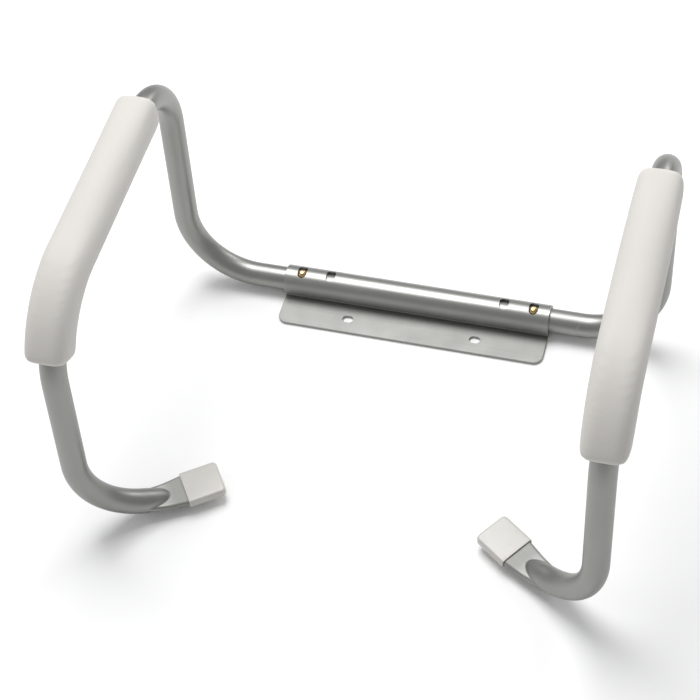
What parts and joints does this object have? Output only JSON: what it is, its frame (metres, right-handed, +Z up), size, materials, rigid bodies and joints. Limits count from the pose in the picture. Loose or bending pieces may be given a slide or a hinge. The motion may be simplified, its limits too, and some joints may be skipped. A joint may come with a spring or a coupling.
{
  "type": "toilet safety frame",
  "caption": "Two bent aluminium tube arms with soft pads that plug into the ends of a bolt-on bracket sleeve and lock with snap buttons.",
  "frame": {"origin": "midway between the two seat bolt holes, on the underside of the flange, the plane the frame rests on", "axes": "+Z up; the front of the frame, where a person sits down, faces -Y; +X to the right seen from the front"},
  "size_m": [0.554, 0.3805, 0.3126],
  "materials": {
    "bracket_aluminium": "satin extruded",
    "tube_aluminium": "satin anodised",
    "pad_foam": "soft self-skinned foam with a fine leather grain",
    "tip_vinyl": "smooth dipped vinyl",
    "button_brass": "polished",
    "spring_steel": "plain spring strip"
  },
  "bodies": {
    "bracket": {"bracket": "bracket_aluminium"},
    "left_arm": {"left_arm_tube": "tube_aluminium", "left_arm_pad": "pad_foam", "left_foot_tip": "tip_vinyl", "left_button_spring": "spring_steel"},
    "left_button": {"left_snap_button": "button_brass"},
    "right_arm": {"right_arm_tube": "tube_aluminium", "right_arm_pad": "pad_foam", "right_foot_tip": "tip_vinyl", "right_button_spring": "spring_steel"},
    "right_button": {"right_snap_button": "button_brass"}
  },
  "joints": [
    {"name": "left_width", "type": "slide", "parent": "bracket", "child": "left_arm", "axis": [1, 0, 0], "range_m": [0, 0.03175], "deforming": ["left_snap_button"]},
    {"name": "left_button_press", "type": "slide", "parent": "left_arm", "child": "left_button", "axis": [0, 0.1045, -0.9945], "range_m": [0, 0.005], "stiffness_N_per_m": 1500, "springref_m": -0.002, "deforming": ["left_button_spring"]},
    {"name": "right_width", "type": "slide", "parent": "bracket", "child": "right_arm", "axis": [-1, 0, 0], "range_m": [0, 0.03175], "deforming": ["right_snap_button"]},
    {"name": "right_button_press", "type": "slide", "parent": "right_arm", "child": "right_button", "axis": [0, 0.1045, -0.9945], "range_m": [0, 0.005], "stiffness_N_per_m": 1500, "springref_m": -0.002, "deforming": ["right_button_spring"]}
  ]
}
